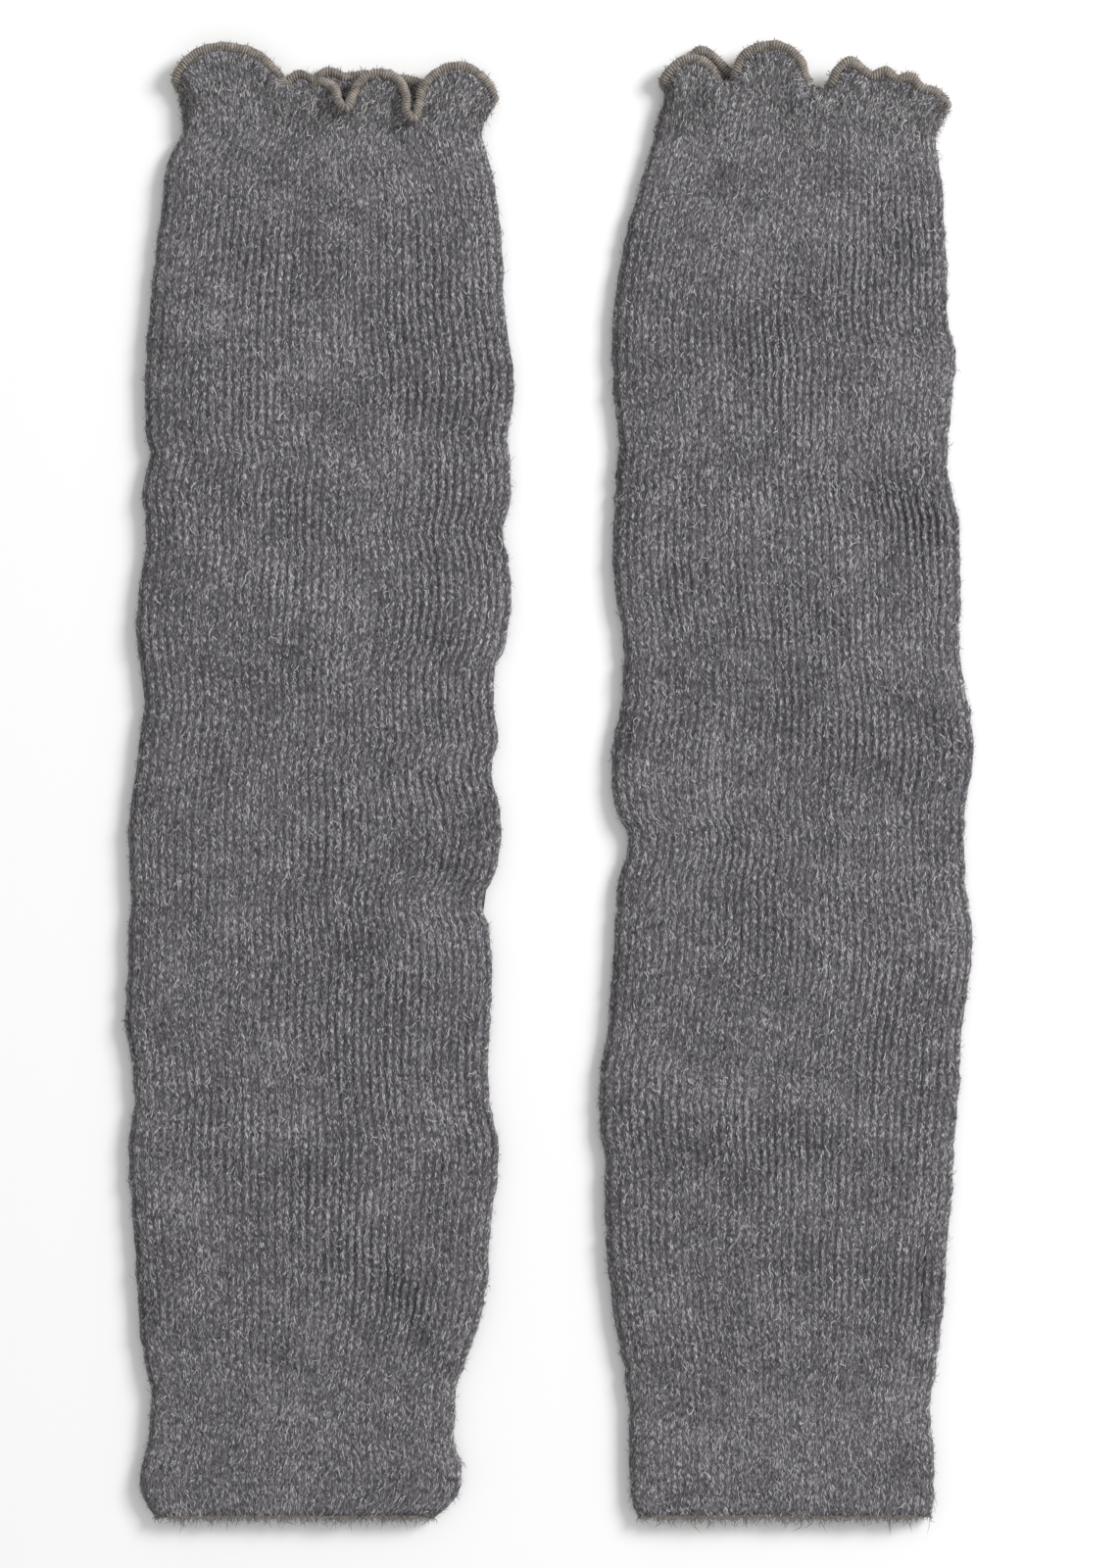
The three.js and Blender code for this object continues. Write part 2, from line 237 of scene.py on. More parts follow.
class Graph:
    """A material's node tree, with one way to add a node."""

    def __init__(self, name: str) -> None:
        """Start an empty material.

        Args:
            name: the material's name.
        """
        self.material = bpy.data.materials.new(name)
        self.material.use_nodes = True
        self.tree = self.material.node_tree
        self.tree.nodes.clear()

    def node(self, kind: str, settings: dict[str, Any], inputs: dict[Any, Any]) -> Any:
        """Add a node.

        Args:
            kind: the node's type.
            settings: its own properties, set first.
            inputs: values, fields or sockets for its sockets, by name or number.

        Returns:
            The new node.
        """
        made = self.tree.nodes.new(kind)
        for key, value in settings.items():
            setattr(made, key, value)
        for key, value in inputs.items():
            socket = made.inputs[key]
            if isinstance(value, Field):
                self.tree.links.new(value.socket, socket)
            elif isinstance(value, bpy.types.NodeSocket):
                self.tree.links.new(value, socket)
            else:
                socket.default_value = value
        return made

    def mix(self, factor: Any, first: Any, second: Any) -> Any:
        """Mix two colours.

        Args:
            factor: share of the second colour.
            first: colour at 0.
            second: colour at 1.

        Returns:
            The socket of the mixed colour.
        """
        colours = {"Factor": factor, 6: first, 7: second}
        node = self.node("ShaderNodeMix", {"data_type": "RGBA"}, colours)
        return node.outputs[2]

    def noise(self, where: Any, scale: float, detail: float, rough: float = 0.5) -> Field:
        """Add noise.

        Args:
            where: socket of the place.
            scale: how fine the noise is.
            detail: how many finer layers it has.
            rough: how strong those layers are.

        Returns:
            A field from 0 to 1.
        """
        inputs = {"Vector": where, "Scale": scale, "Detail": detail, "Roughness": rough}
        return Field(self, self.node("ShaderNodeTexNoise", {}, inputs).outputs[0])

    def stretched(self, where: Any, scale: tuple[float, float, float]) -> Any:
        """Scale a vector socket along each axis.

        Args:
            where: socket of the place.
            scale: factor along each axis.

        Returns:
            The socket of the scaled vector.
        """
        node = self.node("ShaderNodeVectorMath", {"operation": "MULTIPLY"}, {0: where, 1: scale})
        return node.outputs[0]

    def finish(self, shader: dict[str, Any], height: Field, depth: float) -> bpy.types.Material:
        """Close the graph with a Principled shader and a bump.

        Args:
            shader: values and links of the shader's sockets.
            height: bump height, from 0 to 1.
            depth: depth of the bump, in metres.

        Returns:
            The finished material.
        """
        bump = self.node("ShaderNodeBump", {}, {"Height": height, "Distance": depth, "Strength": 1.0})
        inputs = {**shader, "Normal": bump.outputs[0]}
        principled = self.node("ShaderNodeBsdfPrincipled", {}, inputs)
        self.node("ShaderNodeOutputMaterial", {}, {"Surface": principled.outputs[0]})
        return self.material


@dataclass(frozen=True)
class KnitFinish:
    """Brushed heather knit: slanted V strokes on ribs, mixed grey fibres and a soft nap, with painted shade
    in the rib valleys and between the strokes.
    """

    dark: COLOUR = (0.028, 0.027, 0.030, 1.0)
    middle: COLOUR = (0.124, 0.118, 0.131, 1.0)
    light: COLOUR = (0.540, 0.525, 0.540, 1.0)
    stitch_depth: float = 0.85 * MM
    strokes_a_wale: float = 4.6
    stroke_slope: float = 1.3
    strokes_a_course: float = 1.15
    wale_wobble: float = 0.30
    turn_sharpness: float = 9.0
    fibre_stretch: float = 0.22
    threshold_gain: float = 5.0
    fleck_from: float = 0.60
    fleck_weight: float = 0.30
    # painted shade in the hollows between the stitch strokes: where it starts and how strong it is
    painted_hollow_shade_from: float = 0.44
    painted_hollow_shade_weight: float = 0.24
    grain_weight: float = 1.35
    cloud_weight: float = 0.40
    # strength of the painted shade in the valleys between the ribs
    painted_valley_shade_weight: float = 0.14
    middle_shade: float = 0.54

    def material(self) -> bpy.types.Material:
        """Build the knit material.

        Returns:
            The material, which reads the "knit" attribute (wale, course, ribbing).
        """
        graph = Graph("brushed_heather_knit")
        knit = graph.node("ShaderNodeAttribute", {"attribute_name": "knit"}, {})
        parts = graph.node("ShaderNodeSeparateXYZ", {}, {0: knit.outputs["Vector"]})
        wale, course, ribbing = (Field(graph, parts.outputs[i]) for i in range(3))
        place = graph.node("ShaderNodeTexCoord", {}, {}).outputs["Object"]
        wobble = graph.noise(place, 420.0, 2.0) - 0.5
        wale = wale + wobble * self.wale_wobble
        offset = wale.fraction() - 0.5
        half = (offset * self.turn_sharpness).clipped(-1.0, 1.0)
        sheared = wale * self.strokes_a_wale - half * course * self.stroke_slope
        knitted = {0: sheared, 1: course * self.strokes_a_course, 2: 0.0}
        along = graph.node("ShaderNodeCombineXYZ", {}, knitted).outputs[0]
        strokes = graph.noise(along, 1.0, 2.0, 0.6)
        drawn_out = graph.stretched(place, (1.0, self.fibre_stretch, 1.0))
        fibres = graph.noise(drawn_out, 3000.0, 2.0, 0.6)
        clouds = graph.noise(place, 62.0, 3.0, 0.6)
        # Painted shade: darkens the colour in the valleys between the ribs, as much as the ribbing is
        # strong.
        painted_valley_shade = (wale * math.tau).cosine() * -0.5 + 0.5
        fleck = ((strokes - self.fleck_from) * self.threshold_gain).held() * self.fleck_weight
        # Painted shade: darkens the colour where the stitch strokes are lowest, in the hollows between
        # them.
        painted_hollow_shade = ((self.painted_hollow_shade_from - strokes) * self.threshold_gain).held() * self.painted_hollow_shade_weight
        grain = (strokes - 0.5) * self.grain_weight + (fibres - 0.5) * self.grain_weight
        grain = grain + (clouds - 0.5) * self.cloud_weight
        shade = (grain + fleck - painted_hollow_shade - painted_valley_shade * ribbing * self.painted_valley_shade_weight + self.middle_shade).held()
        body = graph.mix((shade * 2.0).held(), self.dark, self.middle)
        colour = graph.mix(((shade - 0.5) * 2.0).held(), body, self.light)
        height = (strokes * 0.75 + fibres * 0.35).held()
        shader = {
            "Base Color": colour,
            "Roughness": fibres * 0.12 + 0.84,
            "Sheen Weight": 0.06,
            "Sheen Roughness": 0.6,
            "Specular IOR Level": 0.12,
        }
        return graph.finish(shader, height, self.stitch_depth)


@dataclass(frozen=True)
class ThreadFinish:
    """Matt overlock thread, a warmer grey than the knit, with painted light on the raised wraps."""

    dark: COLOUR = (0.050, 0.043, 0.037, 1.0)
    light: COLOUR = (0.440, 0.390, 0.345, 1.0)
    wrap_depth: float = 0.16 * MM
    # strength of the painted light on the raised ridge and on the strands of each wrap
    painted_ridge_light_weight: float = 0.42
    painted_strand_light_weight: float = 0.12
    fibre_weight: float = 1.1
    wear_weight: float = 0.8
    darkest_shade: float = 0.16

    def material(self) -> bpy.types.Material:
        """Build the thread material.

        Returns:
            The material, which reads the "wrap" attribute (turns of thread, way round, height).
        """
        graph = Graph("overlock_thread")
        wrap = graph.node("ShaderNodeAttribute", {"attribute_name": "wrap"}, {})
        parts = graph.node("ShaderNodeSeparateXYZ", {}, {0: wrap.outputs["Vector"]})
        turns, ridge = Field(graph, parts.outputs[0]), Field(graph, parts.outputs[2])
        place = graph.node("ShaderNodeTexCoord", {}, {}).outputs["Object"]
        fibres = graph.noise(place, 3600.0, 3.0, 0.65)
        worn = graph.noise(place, 300.0, 2.0)
        strand = (turns * math.tau * 2.0).sine() * 0.5 + 0.5
        # Painted light: the raised ridge and the strands of each thread wrap are drawn lighter.
        painted_wrap_light = ridge * self.painted_ridge_light_weight + strand * self.painted_strand_light_weight
        shade = (painted_wrap_light + (fibres - 0.5) * self.fibre_weight + (worn - 0.5) * self.wear_weight
                 + self.darkest_shade).held()
        colour = graph.mix(shade, self.dark, self.light)
        height = (strand * 0.4 + fibres * 0.6).held()
        shader = {
            "Base Color": colour,
            "Roughness": fibres * 0.2 + 0.75,
            "Specular IOR Level": 0.2,
            "Sheen Weight": 0.1,
        }
        return graph.finish(shader, height, self.wrap_depth)


@dataclass(frozen=True)
class FibreFinish:
    """Loose fibres of the nap, from charcoal to off-white, and warmer at the hem."""

    dark: COLOUR = (0.034, 0.033, 0.037, 1.0)
    light: COLOUR = (0.660, 0.650, 0.650, 1.0)
    warm: COLOUR = (0.190, 0.160, 0.140, 1.0)
    grain_depth: float = 0.02 * MM

    def material(self) -> bpy.types.Material:
        """Build the fibre material.

        Returns:
            The material, which reads the "tone" attribute (lightness, warmth, and 0).
        """
        graph = Graph("brushed_fibres")
        tone = graph.node("ShaderNodeAttribute", {"attribute_name": "tone"}, {})
        parts = graph.node("ShaderNodeSeparateXYZ", {}, {0: tone.outputs["Vector"]})
        lightness, warmth = (Field(graph, parts.outputs[i]) for i in (0, 1))
        place = graph.node("ShaderNodeTexCoord", {}, {}).outputs["Object"]
        grain = graph.noise(place, 2400.0, 1.0)
        grey = graph.mix((lightness + (grain - 0.5) * 0.2).held(), self.dark, self.light)
        colour = graph.mix(warmth, grey, self.warm)
        shader = {"Base Color": colour, "Roughness": grain * 0.2 + 0.7, "Specular IOR Level": 0.2}
        return graph.finish(shader, grain, self.grain_depth)


@dataclass(frozen=True)
class SurfaceFinish:
    """Plain, nearly white studio surface."""

    colour: COLOUR = (0.93, 0.93, 0.93, 1.0)
    grain_depth: float = 0.01 * MM

    def material(self) -> bpy.types.Material:
        """Build the surface material.

        Returns:
            The material.
        """
        graph = Graph("pale_surface")
        place = graph.node("ShaderNodeTexCoord", {}, {}).outputs["Object"]
        grain = graph.noise(place, 40.0, 1.0)
        return graph.finish({"Base Color": self.colour, "Roughness": 0.9}, grain, self.grain_depth)


# ------------------------------------------------------------------------------------------
# Meshes
# ------------------------------------------------------------------------------------------
def make_piece(name: str, points: np.ndarray, faces: np.ndarray, material: bpy.types.Material,
               attribute: tuple[str, np.ndarray]) -> bpy.types.Object:
    """Make a smooth mesh object from arrays.

    Args:
        name: the piece's name.
        points: vertices in millimetres.
        faces: quads or triangles, as rows of vertex numbers.
        material: its finish.
        attribute: the name and the values of a vector for each vertex.

    Returns:
        The new object, in metres.
    """
    mesh = bpy.data.meshes.new(name)
    mesh.from_pydata((points * MM).tolist(), [], faces.tolist())
    mesh.polygons.foreach_set("use_smooth", np.ones(len(mesh.polygons), dtype=bool))
    layer = mesh.attributes.new(attribute[0], "FLOAT_VECTOR", "POINT")
    layer.data.foreach_set("vector", np.ascontiguousarray(attribute[1], dtype=np.float32).ravel())
    mesh.materials.append(material)
    mesh.update()
    piece = bpy.data.objects.new(name, mesh)
    bpy.context.scene.collection.objects.link(piece)
    return piece


def ring_quads(rows: int, count: int, first: int = 0, flip: bool = False) -> np.ndarray:
    """Quads of a stack of closed rings.

    Args:
        rows: number of rings.
        count: vertices in each.
        first: number of the first vertex.
        flip: whether the faces look inwards.

    Returns:
        An array of quads.
    """
    row, column = np.meshgrid(np.arange(rows - 1), np.arange(count), indexing="ij")
    after = (column + 1) % count
    quads = np.stack([row * count + column, row * count + after,
                      (row + 1) * count + after, (row + 1) * count + column], axis=-1).reshape(-1, 4)
    return first + (quads[:, ::-1] if flip else quads)


@dataclass
class LegWarmer:
    """One leg warmer: its knit tube, its thread edging and its brushed nap."""

    side: Side
    sections: Sequence[Section]
    creases: Sequence[Crease]
    front_edge: Sequence[Bend]
    back_edge: Sequence[Bend]
    ribbed_side: float
    seed: int
    cloth: float = 2.2
    layer_gap: float = 0.15
    rest_gap: float = 0.02
    fibre_rest_gap: float = 0.03
    ruffle_length: float = 20.0
    side_height: float = 5.6
    side_round: float = 4.0
    crown_power: float = 0.6
    soft_waves: tuple[float, float] = (46.0, 0.30)
    fine_waves: tuple[float, float] = (17.0, 0.11)
    fold_waves: tuple[float, float] = (9.0, 0.35)
    crease_gain: float = 2.1
    crease_bow: float = 0.06
    edging_radius: float = 1.6
    front_steps: int = 276
    side_steps: int = 8
    back_steps: int = 200
    row_step: float = 3.3
    strip_rows: int = 17
    inner_skip: int = 8
    wales: int = 88
    course_pitch: float = 2.0
    rib_height: float = 0.33
    cuffs: tuple[float, float] = (42.0, 8.0)
    cuff_fades: tuple[float, float] = (22.0, 26.0)
    start_pull: float = 0.42
    end_pull: float = 0.25
    length_share: float = 0.65
    edge_samples: int = 1600
    direction_spread: int = 5
    direction_window: int = 27
    wrap_pitch: float = 0.9
    wrap_steps: int = 8
    edging_sides: int = 16
    fibres: int = 50000
    side_fibres: int = 6000
    hem_fibres: int = 1800
    edging_fibres: int = 3600
    front_share: float = 0.78
    grey_from: float = 0.44
    pale_from: float = 0.80

    def columns(self) -> int:
        """Vertices round the tube."""
        return self.front_steps + self.back_steps + 4 * self.side_steps

    def level_ring(self, y: np.ndarray, left: np.ndarray, right: np.ndarray,
                   height: np.ndarray) -> np.ndarray:
        """Middle of the cloth round level sections.

        Args:
            y: place of each section.
            left: its left fold.
            right: its right fold.
            height: its height at mid width.

        Returns:
            Points by section and by place round it, from the left fold over the front.
        """
        half = self.cloth / 2
        radius = (self.side_height - self.cloth) / 2
        centre = half + radius
        start = (left + half + self.side_round)[:, None]
        end = (right - half - self.side_round)[:, None]

        def bend(where: np.ndarray, from_angle: float, to_angle: float) -> tuple[np.ndarray, np.ndarray]:
            """A quarter turn at a side fold."""
            angle = np.linspace(from_angle, to_angle, self.side_steps, endpoint=False)[None, :]
            return where + self.side_round * np.cos(angle), centre + radius * np.sin(angle) + 0 * where

        share = np.linspace(0.0, 1.0, self.front_steps, endpoint=False)[None, :]
        front_x = start + (end - start) * share
        crown = (1 - (2 * share - 1) ** 2) ** self.crown_power
        front_y = y[:, None] + 0 * front_x
        soft = crown * wander(front_x, front_y, self.soft_waves[0], self.seed) * self.soft_waves[1]
        fine = crown * wander(front_x, front_y, self.fine_waves[0], self.seed + 1) * self.fine_waves[1]
        top = self.side_height + (height[:, None] - self.side_height) * crown - half + soft + fine
        top = top - crown**0.5 * self.crease_depth(front_x, front_y)
        top = np.maximum(top, half + self.cloth + self.layer_gap)
        share_back = np.linspace(0.0, 1.0, self.back_steps, endpoint=False)[None, :]
        back_x = end + (start - end) * share_back
        runs = [bend(start, math.pi, math.pi / 2), (front_x, top), bend(end, math.pi / 2, 0.0),
                bend(end, 0.0, -math.pi / 2), (back_x, half + 0 * back_x),
                bend(start, 1.5 * math.pi, math.pi)]
        x = np.concatenate([run[0] for run in runs], axis=1)
        z = np.concatenate([run[1] for run in runs], axis=1)
        return np.stack([x, y[:, None] + 0 * x, z], axis=-1)

    def crease_depth(self, x: np.ndarray, y: np.ndarray) -> np.ndarray:
        """Add up the creases.

        Args:
            x: places across the front.
            y: places along it.

        Returns:
            Depth below the uncreased front at each place.
        """
        depth = np.zeros(x.shape)
        for crease in self.creases:
            run = np.array([crease.to_x - crease.from_x, crease.to_y - crease.from_y])
            offset_x, offset_y = x - crease.from_x, y - crease.from_y
            along = np.clip((offset_x * run[0] + offset_y * run[1]) / (run @ run), 0.0, 1.0)
            bow = self.crease_bow * np.linalg.norm(run) * np.sin(math.pi * along)
            across = np.hypot(offset_x - along * run[0], offset_y - along * run[1] - bow * 0.5)
            taper = 0.25 + 0.75 * np.sin(math.pi * (0.08 + 0.84 * along))
            depth += self.crease_gain * crease.depth * taper * np.exp(-((across / crease.reach) ** 2))
        return depth

    def walk_edge(self, rows: np.ndarray, steps: int) -> np.ndarray:
        """Stops along the mouth's line for a run of wales.

        Args:
            rows: bends of the line.
            steps: number of wale positions.

        Returns:
            x, y, z and turn at each stop.
        """
        route = smooth_route(rows, self.edge_samples)
        along = np.linspace(0.0, 1.0, len(route))
        across = (route[:, 0] - rows[0, 0]) / (rows[-1, 0] - rows[0, 0])
        wale = np.maximum.accumulate(across + (along - across) * self.length_share)
        wanted = np.linspace(0.0, 1.0, steps, endpoint=False)
        return np.stack([np.interp(wanted, wale, column) for column in route.T], axis=1)

    def mouth(self) -> tuple[np.ndarray, np.ndarray]:
        """The mouth's cut edge and the way the cloth runs there.

        Returns:
            Edge points and outward directions, in ring order.
        """
        front_count = self.front_steps + 2 * self.side_steps
        back_count = self.back_steps + 2 * self.side_steps
        front = np.array(self.front_edge)
        back = np.array([self.front_edge[-1], *self.back_edge, self.front_edge[0]])
        ring = np.concatenate([self.walk_edge(front, front_count), self.walk_edge(back, back_count)])
        spread = self.direction_spread
        across = np.roll(ring[:, :2], -spread, axis=0) - np.roll(ring[:, :2], spread, axis=0)
        across[front_count:] *= -1
        outward = unit(np.stack([-across[:, 1], across[:, 0]], axis=1))
        kernel = np.hanning(self.direction_window)
        kernel /= kernel.sum()
        pad = self.direction_window
        padded = np.concatenate([outward[-pad:], outward, outward[:pad]])
        smooth = np.stack([np.convolve(padded[:, i], kernel, "same") for i in (0, 1)], axis=1)
        outward = unit(smooth[pad:-pad])
        turn = np.radians(ring[:, 3:4])
        return ring[:, :3], np.concatenate([outward * np.cos(turn), np.sin(turn)], axis=1)

    def middle_grid(self) -> tuple[np.ndarray, np.ndarray]:
        """Middle of the cloth, from the hem to the mouth.

        Returns:
            Points by row and by place round the tube, and the directions at the mouth.
        """
        table = np.array(self.sections)
        count = int((table[-1, 0] - table[0, 0]) / self.row_step)
        y = np.linspace(table[0, 0], table[-1, 0], count)
        left, right, height = (smooth_values(y, table[:, 0], table[:, i]) for i in (1, 2, 3))
        wave, sway = self.fold_waves
        left = left + sway * wander(y, 0 * y, wave, self.seed + 2)
        right = right + sway * wander(y, 0 * y, wave, self.seed + 3)
        level = self.level_ring(y, left, right, height)
        edge, outward = self.mouth()
        base = level[-1]
        reach = np.linalg.norm(edge - base, axis=1, keepdims=True)
        second = base + np.array([0.0, 1.0, 0.0]) * self.start_pull * reach
        third = edge - outward * self.end_pull * reach
        t = np.linspace(0.0, 1.0, self.strip_rows + 1)[1:, None, None]
        strips = ((1 - t) ** 3 * base + 3 * (1 - t) ** 2 * t * second
                  + 3 * (1 - t) * t**2 * third + t**3 * edge)
        grid = np.concatenate([level, strips])
        grid[..., 2] = np.maximum(grid[..., 2], self.cloth / 2)
        return grid, outward

    @staticmethod
    def normals(grid: np.ndarray) -> np.ndarray:
        """Outward normals of a grid of rings."""
        around = np.roll(grid, -1, axis=1) - np.roll(grid, 1, axis=1)
        return unit(np.cross(around, np.gradient(grid, axis=0)))

    def ribs(self, grid: np.ndarray) -> tuple[np.ndarray, np.ndarray]:
        """Rib relief and knit coordinates.

        Args:
            grid: middle of the cloth.

        Returns:
            Height of the ribs at each point, and (wale, course, ribbing) there.
        """
        reference = grid[grid.shape[0] // 2]
        step = np.linalg.norm(np.roll(reference, -1, axis=0) - reference, axis=1)
        wale = self.wales * np.concatenate([[0.0], np.cumsum(step)[:-1]]) / step.sum()
        climb = np.linalg.norm(np.gradient(grid, axis=0), axis=2).mean(axis=1)
        course = np.cumsum(climb) / self.course_pitch
        wale_grid, course_grid = np.broadcast_arrays(wale[None, :], course[:, None])
        x, y = grid[..., 0], grid[..., 1]
        low, high = self.sections[0].y, self.sections[-1].y
        hem_cuff, top_cuff = self.cuffs
        leg = (np.clip((y - low - hem_cuff) / self.cuff_fades[0], 0, 1)
               * np.clip((high - top_cuff - y) / self.cuff_fades[1], 0, 1))
        middle = (x - x.mean()) / (np.ptp(x) / 2)
        strength = (0.30 + 0.70 * leg) * (0.78 + 0.30 * self.ribbed_side * middle
                                          + 0.30 * wander(x, y, 60.0, self.seed + 4))
        drift = 0.10 * wander(x, y, 30.0, self.seed + 5)
        phase = math.tau * (wale_grid + drift)
        relief = 0.70 * np.cos(phase) + 0.30 * np.cos(phase / 2)
        lumps = 0.10 * wander(wale_grid * 2.6, course_grid * 2.0, 4.6, self.seed + 6)
        strength = np.clip(strength, 0.1, 1.4)
        height = self.rib_height * strength * relief + lumps
        return height, np.stack([wale_grid, course_grid, strength], axis=-1)

    def build_tube(self, material: bpy.types.Material) -> tuple[bpy.types.Object, np.ndarray, np.ndarray]:
        """Build the knit tube.

        Args:
            material: the knit finish.

        Returns:
            The piece, its outer points and their normals.
        """
        grid, _ = self.middle_grid()
        normals = self.normals(grid)
        relief, knit = self.ribs(grid)
        outer = grid + normals * (self.cloth / 2 + relief)[..., None]
        outer[..., 2] = np.maximum(outer[..., 2], self.rest_gap)
        level_rows = grid.shape[0] - self.strip_rows
        kept = np.unique(np.concatenate([np.arange(0, level_rows, self.inner_skip),
                                         np.arange(level_rows, grid.shape[0])]))
        inner = grid[kept] - normals[kept] * self.cloth / 2
        count = self.columns()
        points = np.concatenate([outer.reshape(-1, 3), inner.reshape(-1, 3)])
        first = outer.shape[0] * count
        quads = [ring_quads(outer.shape[0], count), ring_quads(len(kept), count, first, True)]
        column = np.arange(count)
        after = (column + 1) % count
        last_outer = (outer.shape[0] - 1) * count
        last_inner = first + (len(kept) - 1) * count
        quads.append(np.stack([column, first + column, first + after, after], axis=1))
        quads.append(np.stack([last_outer + column, last_outer + after,
                               last_inner + after, last_inner + column], axis=1))
        values = np.concatenate([knit.reshape(-1, 3), knit[kept].reshape(-1, 3)])
        piece = make_piece(f"{self.side.value}_knit_tube", points, np.concatenate(quads), material,
                           ("knit", values))
        return piece, outer, normals

    def build_edging(self, material: bpy.types.Material) -> tuple[bpy.types.Object, np.ndarray, np.ndarray]:
        """Build the overlocked roll of thread round the mouth.

        Args:
            material: the thread finish.

        Returns:
            The piece, its points and their normals.
        """
        grid, outward = self.middle_grid()
        normal = self.normals(grid)[-1]
        line = np.concatenate([grid[-1] + outward * self.edging_radius, outward, normal], axis=1)
        closed = np.concatenate([line, line[:1]])
        length = np.linalg.norm(np.diff(closed[:, :3], axis=0), axis=1).sum()
        turns = int(length / self.wrap_pitch)
        walk = smooth_route(closed, turns * self.wrap_steps + 1)[:-1]
        centre, out = walk[:, :3], unit(walk[:, 3:6])
        up = unit(walk[:, 6:9] - out * (walk[:, 6:9] * out).sum(axis=1, keepdims=True))
        sides = self.edging_sides
        angle = np.linspace(0.0, math.tau, sides, endpoint=False)[None, :]
        place = (np.arange(len(walk)) / self.wrap_steps)[:, None]
        ridge = np.abs(np.sin(math.pi * (place + angle / math.tau * 0.6)))
        toward_cloth = np.clip(-np.cos(angle), 0.0, 1.0)
        uneven = 0.14 * wander(place * 0.85, angle * 0.8, 5.0, self.seed + 7)
        loops = 0.5 + 0.5 * wander(place * 0.85, 0 * angle, 2.4, self.seed + 8)
        radius = (self.edging_radius * 0.80 + 0.30 * ridge
                  + 0.8 * toward_cloth**2 * ridge**2 * loops + uneven)
        ring = (centre[:, None] + out[:, None] * (np.cos(angle) * radius)[..., None]
                + up[:, None] * (np.sin(angle) * radius * 0.94)[..., None])
        ring[..., 2] = np.maximum(ring[..., 2], self.rest_gap)
        points = ring.reshape(-1, 3)
        quads = ring_quads(len(walk), sides, 0, True)
        column = np.arange(sides)
        after = (column + 1) % sides
        last = (len(walk) - 1) * sides
        quads = np.concatenate([quads, np.stack([column, last + column, last + after, after], axis=1)])
        values = np.stack(np.broadcast_arrays(place, angle, ridge), axis=-1).reshape(-1, 3)
        piece = make_piece(f"{self.side.value}_overlock_edging", points, quads, material, ("wrap", values))
        return piece, points, unit(ring - centre[:, None]).reshape(-1, 3)

    def cloth_fibres(self, rng: np.random.Generator, outer: np.ndarray,
                     normals: np.ndarray) -> Fibres:
        """Fibres that lie and stand all over the cloth, thicker on its side folds.

        Args:
            rng: the source of chance.
            outer: the tube's outer points.
            normals: their normals.

        Returns:
            The fibres.
        """
        rows, count = outer.shape[:2]
        front = self.front_steps + 2 * self.side_steps
        total = self.fibres + self.side_fibres
        on_side = np.arange(total) >= self.fibres
        on_front = rng.random(total) < self.front_share
        column = np.where(on_front, rng.integers(0, front, total), rng.integers(front, count, total))
        fold = rng.integers(-self.side_steps, self.side_steps, total) + rng.integers(0, 2, total) * front
        column = np.where(on_side, fold % count, column)
        row = rng.integers(0, rows - 1, total)
        blend = rng.random((total, 1))
        root = outer[row, column] * (1 - blend) + outer[row + 1, column] * blend
        normal = normals[row, column]
        along = unit(outer[row + 1, column] - outer[row, column])
        lean = rng.normal(0.0, 0.42, (total, 1))
        lift = np.abs(rng.normal(0.08, 0.18, (total, 1))) + on_side[:, None] * rng.random((total, 1)) * 0.9
        way = np.where(rng.random((total, 1)) < 0.5, 1.0, -1.0)
        aim = unit(along * way * np.cos(lean) + np.cross(normal, along) * np.sin(lean) + normal * lift)
        kind = rng.random(total)
        dark = rng.uniform(0.0, 0.12, total)
        grey = rng.uniform(0.12, 0.34, total)
        pale = rng.uniform(0.5, 1.0, total)
        lightness = np.where(kind < self.grey_from, dark, np.where(kind < self.pale_from, grey, pale))
        lightness = np.where(on_side, np.minimum(lightness, 0.4), lightness)
        warmth = rng.random(total) * np.where(on_side, 0.6, 0.12)
        return Fibres(root, normal, aim, rng.gamma(6.0, 0.27, (total, 1)), lightness, warmth)

    def hem_fringe(self, rng: np.random.Generator, outer: np.ndarray, normals: np.ndarray) -> Fibres:
        """Loose ends along the raw hem.

        Args:
            rng: the source of chance.
            outer: the tube's outer points.
            normals: their normals.

        Returns:
            The fibres.
        """
        total = self.hem_fibres
        column = rng.integers(0, outer.shape[1], total)
        root = outer[0, column] + np.array([0.0, 0.6, 0.0])
        aim = unit(np.stack([rng.normal(0, 0.55, total), -np.ones(total),
                             np.abs(rng.normal(0, 0.15, total))], axis=1))
        return Fibres(root, normals[0, column], aim, rng.gamma(3.0, 0.62, (total, 1)),
                      rng.random(total) * 0.35, 0.35 + 0.55 * rng.random(total))

    def edging_fuzz(self, rng: np.random.Generator, points: np.ndarray, normals: np.ndarray) -> Fibres:
        """Short hairs on the roll of thread.

        Args:
            rng: the source of chance.
            points: the edging's points.
            normals: their normals.

        Returns:
            The fibres.
        """
        total = self.edging_fibres
        pick = rng.integers(0, len(points), total)
        aim = unit(normals[pick] * rng.uniform(0.1, 0.8, (total, 1)) + rng.normal(0, 0.6, (total, 3)))
        return Fibres(points[pick], normals[pick], aim, rng.gamma(4.0, 0.22, (total, 1)),
                      rng.random(total) * 0.5, 0.5 + 0.4 * rng.random(total))

